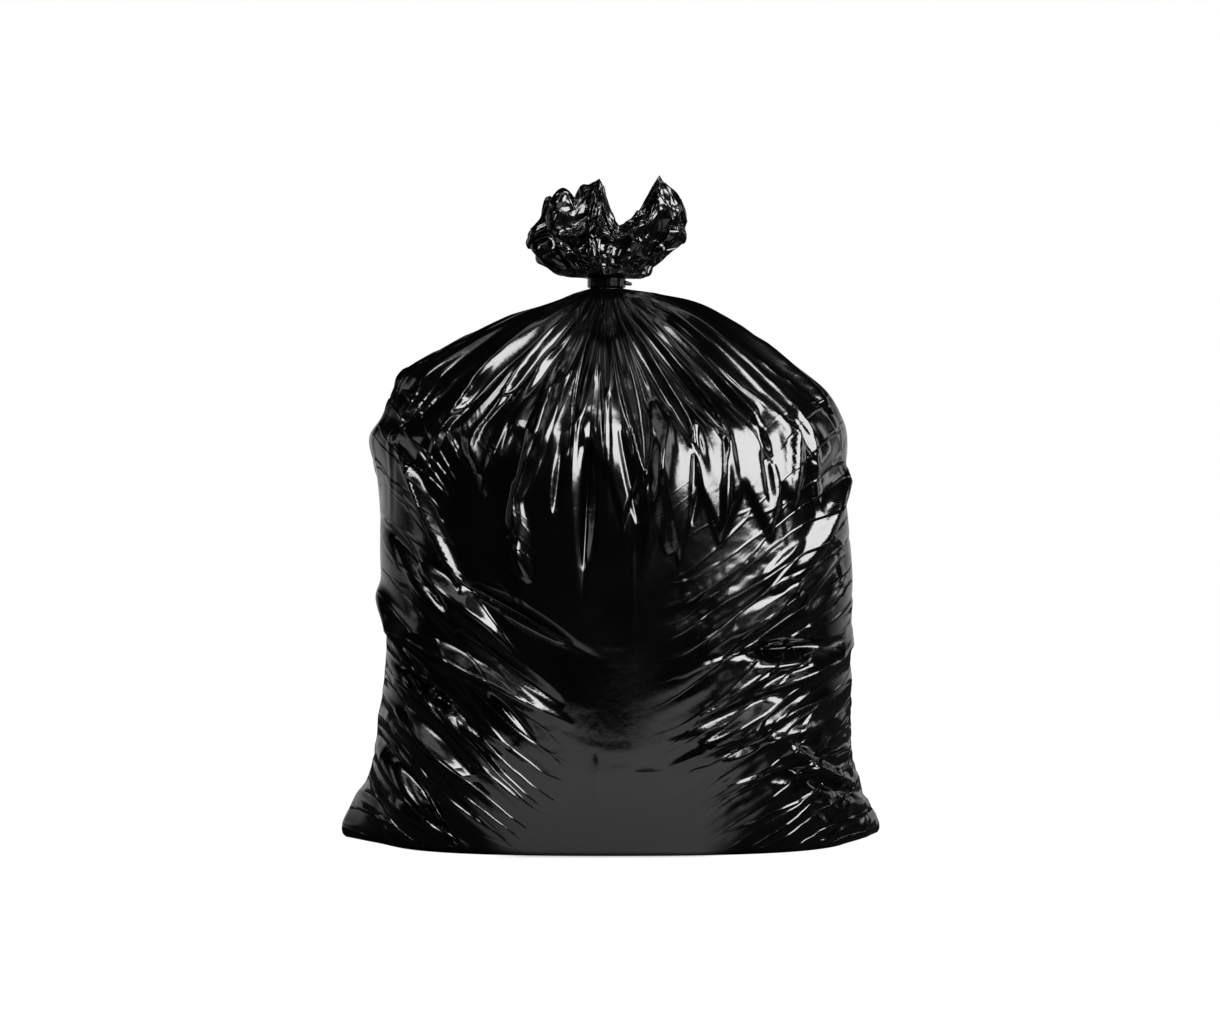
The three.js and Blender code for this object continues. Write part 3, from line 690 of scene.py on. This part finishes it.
def add_film_coordinates(made, flow, worn):
    """Keeps the film's coordinates and wear on the mesh, where the material reads them."""
    total = len(made.data.vertices)
    for name, kind, field, key, width in (
        ("flow", "FLOAT_VECTOR", flow, "vector", 3),
        ("worn", "FLOAT", worn, "value", 1),
    ):
        layer = made.data.attributes.new(name, kind, "POINT")
        values = np.zeros((total, width))
        values[:len(field)] = field.reshape(-1, width)
        layer.data.foreach_set(key, values.ravel())


def make_body(offset):
    """The filled body from the resting face up to the neck inside the tie."""
    wall, flow, worn = body_points(COLUMNS, RINGS)
    wall = wall + settled_move(offset) * (SETTLED_EVERYWHERE + SETTLED_WHERE_WORN * worn[..., None])
    wall[..., 2] = np.maximum(wall[..., 2], 0)
    wall[0, :, 2] = 0
    top = [offset[0] + NECK_X, offset[1], NECK_TOP]
    made = grid_mesh("film_body", body_rings(wall, offset), offset * [1, 1, 0], top)
    add_film_coordinates(made, with_ends(flow).reshape(-1, 3), with_ends(worn).reshape(-1, 1))
    return made


def make_knot(offset):
    """The spare film above the tie: a crumpled, ruffled bunch with a notch, open at the top."""
    rows = np.linspace(0, len(KNOT_PROFILE) - 1, KNOT_RINGS)
    turns = np.arange(KNOT_COLUMNS) / KNOT_COLUMNS * TURN
    place, angle = np.meshgrid(rows, turns, indexing="ij")
    share, height, rim = np.moveaxis(curve_through(KNOT_PROFILE, place), -1, 0)
    loose = ramp(share, 0.17, 0.9)

    # Ruffles, swirled a little, on an oval that grows toward the rim
    swirl = angle + 0.10 * loose * np.sin(3 * angle + 0.02 * height)
    wave = np.cos(KNOT_RUFFLES * swirl + 1.1 * np.sin(2 * angle + 0.6))
    wave = np.sign(wave) * np.abs(wave) ** 0.8
    phase = KNOT_SMALL_RUFFLES * swirl / TURN + 0.35 * np.sin(4 * angle)
    small_wave = np.abs((phase % 1) * 2 - 1) * 2 - 1
    left = KNOT_LEFT * (0.88 + 0.12 * ramp(height, 625, 650))
    right = KNOT_RIGHT * (0.68 + 0.32 * ramp(height, 626, 662) + 0.09 * ramp(height, 680, 703))
    side = np.where(np.cos(angle) < 0, left, right)
    oval = 1 / np.hypot(np.cos(angle) / side, np.sin(angle) / KNOT_DEPTH)
    reach = share * oval * (1 + loose * (0.09 * wave + 0.04 * small_wave))
    across = NECK_X + reach * np.cos(angle)
    deep = reach * np.sin(angle)

    # The rim follows the outline seen from the front, and dips between the ruffles
    outline = np.interp(across, KNOT_RIM[:, 0], KNOT_RIM[:, 1])
    dips = 6 * (1 - wave) * 0.5 + 7 * (0.5 + 0.5 * np.sin(5 * angle + 1.0))
    up = height + rim * (outline - KNOT_RIM_HEIGHT - dips)
    points = np.stack([across, deep, up], axis=-1)

    # Facets push the film out and in along its normals
    around = np.roll(points, -1, axis=1) - np.roll(points, 1, axis=1)
    along = np.gradient(points, axis=0)
    normal = np.cross(around, along)
    normal /= np.maximum(np.linalg.norm(normal, axis=-1, keepdims=True), 1e-9)
    steps = np.hypot(np.diff(share[:, 0]) * KNOT_REACH, np.diff(height[:, 0]))
    travel = np.concatenate([[0], np.cumsum(steps)])[:, None]
    travel = np.broadcast_to(travel, angle.shape)
    large = facet_field(angle * KNOT_RADIUS, travel, KNOT_FACETS, KNOT_RADIUS * TURN)
    small = facet_field(angle * KNOT_RADIUS, travel, KNOT_SMALL_FACETS, KNOT_RADIUS * TURN)
    lift = (KNOT_FACET_HEIGHT * large + KNOT_SMALL_HEIGHT * small) * loose
    lift = lift * (0.4 + 0.6 * ramp(share, 0.3, 0.8))
    points = points + normal * lift[..., None] + offset

    hollow = [offset[0] + NECK_X, offset[1], KNOT_HOLLOW_HEIGHT]
    made = grid_mesh("film_topknot", points, None, hollow)
    flow_x = KNOT_FLOW_RADIUS * np.cos(angle)
    flow_y = KNOT_FLOW_RADIUS * np.sin(angle)
    flow = np.stack([flow_x, flow_y, place * KNOT_FLOW_STEP], axis=-1) / FLOW_UNIT
    add_film_coordinates(made, flow.reshape(-1, 3), (0.3 + 0.7 * loose).reshape(-1, 1))
    return made


def add_node(nodes, kind, values):
    """A new node with values on its sockets, which are given by name."""
    node = nodes.new(kind)
    for name, value in values.items():
        node.inputs[name].default_value = value
    return node


def calculate(nodes, links, operation, *sources):
    """The result of a math node. Each source is an output of a node or a number."""
    node = nodes.new("ShaderNodeMath")
    node.operation = operation
    for socket, source in zip(node.inputs, sources):
        if isinstance(source, bpy.types.NodeSocket):
            links.new(source, socket)
        else:
            socket.default_value = source
    return node.outputs["Value"]


def remap(nodes, links, value, source, target, smooth=False):
    """A value taken from one range to another, and held at the ends."""
    node = nodes.new("ShaderNodeMapRange")
    if smooth:
        node.interpolation_type = "SMOOTHSTEP"
    node.inputs["From Min"].default_value = source[0]
    node.inputs["From Max"].default_value = source[1]
    node.inputs["To Min"].default_value = target[0]
    node.inputs["To Max"].default_value = target[1]
    links.new(value, node.inputs["Value"])
    return node.outputs["Result"]


def noise(nodes, links, place, scale, detail):
    """A noise texture read at a place."""
    texture = add_node(nodes, "ShaderNodeTexNoise", {"Scale": scale, "Detail": detail})
    links.new(place, texture.inputs["Vector"])
    return texture


def crease_bump(nodes, links, place, crease, worn, below):
    """Creases as bump on top of what is below: cells of a stretched grid, pulled about by noise. The cells
    have flat sides, or only a thin crest along their borders where a thickness is given."""
    stretch, waver, thin, depth = crease
    sway = noise(nodes, links, place, waver, 2)
    pull = nodes.new("ShaderNodeVectorMath")
    pull.operation = "MULTIPLY_ADD"
    pull.inputs[1].default_value = (CREASE_SWAY, CREASE_SWAY, CREASE_SWAY)
    links.new(sway.outputs["Color"], pull.inputs[0])
    links.new(place, pull.inputs[2])
    scaled = nodes.new("ShaderNodeVectorMath")
    scaled.operation = "MULTIPLY"
    scaled.inputs[1].default_value = stretch
    links.new(pull.outputs["Vector"], scaled.inputs[0])
    cells = add_node(nodes, "ShaderNodeTexVoronoi", {"Scale": 1})
    links.new(scaled.outputs["Vector"], cells.inputs["Vector"])
    height = cells.outputs["Distance"]
    if thin:
        cells.feature = "DISTANCE_TO_EDGE"
        height = remap(nodes, links, height, (0, thin), (1, 0))
    else:
        cells.distance = "MANHATTAN"
    bump = add_node(nodes, "ShaderNodeBump", {"Distance": depth})
    links.new(height, bump.inputs["Height"])
    links.new(worn, bump.inputs["Strength"])
    links.new(below, bump.inputs["Normal"])
    return bump.outputs["Normal"]


def film_material(name, colour, sheen, creasing):
    """Glossy film with uneven sheen, fine crinkles, and the given sets of creases where it is worn."""
    material = bpy.data.materials.new(name)
    material.use_nodes = True
    nodes = material.node_tree.nodes
    links = material.node_tree.links
    shader = nodes["Principled BSDF"]
    shader.inputs["IOR"].default_value = FILM_IOR
    shader.inputs["Specular IOR Level"].default_value = 1.0
    place = nodes.new("ShaderNodeTexCoord").outputs["Object"]
    tint = noise(nodes, links, place, 7, 4)
    shade = add_node(nodes, "ShaderNodeMixRGB", {
        "Color1": (*[0.7 * part for part in colour], 1),
        "Color2": (*[1.3 * part for part in colour], 1),
    })
    links.new(tint.outputs["Fac"], shade.inputs["Fac"])
    links.new(shade.outputs["Color"], shader.inputs["Base Color"])
    rough = noise(nodes, links, place, 16, 5)
    spread = remap(nodes, links, rough.outputs["Fac"], (0.3, 0.7), sheen)
    links.new(spread, shader.inputs["Roughness"])
    fine = noise(nodes, links, place, 120, 6)
    small = add_node(nodes, "ShaderNodeBump", {"Strength": 0.35, "Distance": 0.0005})
    links.new(fine.outputs["Fac"], small.inputs["Height"])
    flow = nodes.new("ShaderNodeAttribute")
    flow.attribute_name = "flow"
    worn = nodes.new("ShaderNodeAttribute")
    worn.attribute_name = "worn"
    normal = small.outputs["Normal"]
    for crease in creasing:
        normal = crease_bump(nodes, links, flow.outputs["Vector"], crease, worn.outputs["Fac"], normal)
    links.new(normal, shader.inputs["Normal"])
    return material


def floor_material():
    """White for the camera, with the object's shadow. All other rays find it dark, apart from a pale wedge in
    front that fades out ahead, as the dark film mirrors it."""
    material = bpy.data.materials.new("studio_floor")
    material.use_nodes = True
    nodes = material.node_tree.nodes
    links = material.node_tree.links
    shader = nodes["Principled BSDF"]
    shader.inputs["Roughness"].default_value = 0.9
    shader.inputs["Specular IOR Level"].default_value = 0.0
    shader.inputs["Emission Color"].default_value = WHITE
    place = nodes.new("ShaderNodeTexCoord")
    parts = nodes.new("ShaderNodeSeparateXYZ")
    links.new(place.outputs["Object"], parts.inputs["Vector"])
    ahead = calculate(nodes, links, "MULTIPLY", parts.outputs["Y"], -1)
    turn = calculate(nodes, links, "ARCTAN2", parts.outputs["X"], ahead)
    aside = calculate(nodes, links, "ABSOLUTE", turn)
    wedge = remap(nodes, links, aside, WEDGE_SIDE, (1, 0), smooth=True)
    front = remap(nodes, links, ahead, WEDGE_END, (1, 0), smooth=True)
    inside = calculate(nodes, links, "MULTIPLY", wedge, front)
    links.new(remap(nodes, links, inside, (0, 1), FLOOR_COLOUR), shader.inputs["Base Color"])
    glow = remap(nodes, links, inside, (0, 1), FLOOR_GLOW)
    rays = nodes.new("ShaderNodeLightPath")
    seen = calculate(nodes, links, "MULTIPLY", rays.outputs["Is Camera Ray"], glow)
    links.new(seen, shader.inputs["Emission Strength"])
    return material


def make_floor():
    """A level floor that ends a little way in front of the object."""
    mesh = bpy.data.meshes.new("studio_floor")
    mesh.from_pydata([(x, y, 0) for x, y in FLOOR_CORNERS], [], [tuple(range(len(FLOOR_CORNERS)))])
    made = bpy.data.objects.new("studio_floor", mesh)
    made.data.materials.append(floor_material())
    bpy.context.scene.collection.objects.link(made)


def softbox(name, azimuth, elevation, distance, width, height, radiance):
    """A soft lamp that faces the object."""
    lamp = bpy.data.lights.new(name, "AREA")
    lamp.shape = "RECTANGLE"
    lamp.size = width
    lamp.size_y = height
    lamp.energy = radiance * math.pi * width * height
    made = bpy.data.objects.new(name, lamp)
    a = math.radians(azimuth)
    e = math.radians(elevation)
    direction = Vector((math.sin(a) * math.cos(e), -math.cos(a) * math.cos(e), math.sin(e)))
    made.location = LAMP_TARGET + direction * distance
    made.rotation_euler = direction.to_track_quat("Z", "Y").to_euler()
    bpy.context.scene.collection.objects.link(made)


def mix_shaders(nodes, links, share, first, second):
    """A shader between two others."""
    mixed = nodes.new("ShaderNodeMixShader")
    links.new(share, mixed.inputs["Fac"])
    links.new(first, mixed.inputs[1])
    links.new(second, mixed.inputs[2])
    return mixed.outputs["Shader"]


def make_world():
    """White for the camera, an even soft light for the object, and for reflections a room that is dark in
    front and above, and pale low down behind."""
    world = bpy.data.worlds.new("studio")
    bpy.context.scene.world = world
    world.use_nodes = True
    nodes = world.node_tree.nodes
    links = world.node_tree.links
    nodes.clear()
    place = nodes.new("ShaderNodeTexCoord")
    parts = nodes.new("ShaderNodeSeparateXYZ")
    links.new(place.outputs["Generated"], parts.inputs["Vector"])
    behind = remap(nodes, links, parts.outputs["Y"], ROOM_BEHIND, ROOM_MIRRORED)
    low = remap(nodes, links, parts.outputs["Z"], ROOM_EDGE, (1, 0), smooth=True)
    even = add_node(nodes, "ShaderNodeBackground", {"Color": WHITE, "Strength": ROOM_LIGHT})
    mirrored = nodes.new("ShaderNodeBackground")
    links.new(calculate(nodes, links, "MULTIPLY", behind, low), mirrored.inputs["Strength"])
    seen = add_node(nodes, "ShaderNodeBackground", {"Color": WHITE, "Strength": 1})
    rays = nodes.new("ShaderNodeLightPath")
    glossy = rays.outputs["Is Glossy Ray"]
    reflected = calculate(nodes, links, "MAXIMUM", glossy, rays.outputs["Is Transmission Ray"])
    room = mix_shaders(nodes, links, reflected, even.outputs["Background"], mirrored.outputs["Background"])
    shown = mix_shaders(nodes, links, rays.outputs["Is Camera Ray"], room, seen.outputs["Background"])
    output = nodes.new("ShaderNodeOutputWorld")
    links.new(shown, output.inputs["Surface"])


def make_camera():
    """Nearly level, from a little above, so that the object stands where the photograph has it."""
    lens = bpy.data.cameras.new("camera")
    lens.lens = CAMERA_LENS
    lens.sensor_width = CAMERA_SENSOR
    made = bpy.data.objects.new("camera", lens)
    elevation = math.radians(CAMERA_ELEVATION)
    made.location = CAMERA_TARGET + Vector((0, -math.cos(elevation), math.sin(elevation))) * CAMERA_DISTANCE
    made.rotation_euler = (math.pi / 2 - elevation, 0, 0)
    bpy.context.scene.collection.objects.link(made)
    bpy.context.scene.camera = made


make_camera()
tie_low, tie_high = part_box("neck_tie")
neck_shift = np.array([
    tie_low[0] / MM + TIE_OUTER - NECK_X,
    tie_high[1] / MM - TIE_OUTER,
    0,
])
body = make_body(neck_shift)
knot = make_knot(neck_shift)
knot.parent = body

body.data.materials.append(film_material("black_film", BLACK, FILM_SHEEN, BODY_CREASES))
knot.data.materials.append(film_material("knot_film", BLACK, FILM_SHEEN, KNOT_CREASES))
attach(body, "root")
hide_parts("bin_bag")
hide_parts("bin_bag")

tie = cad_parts["neck_tie"]
tie.data.materials.clear()
tie.data.materials.append(film_material("tie_film", TIE_BLACK, TIE_SHEEN, []))

make_floor()
make_world()
for lamp in LAMPS:
    softbox(*lamp)

scene = bpy.context.scene
scene.view_settings.view_transform = "Standard"
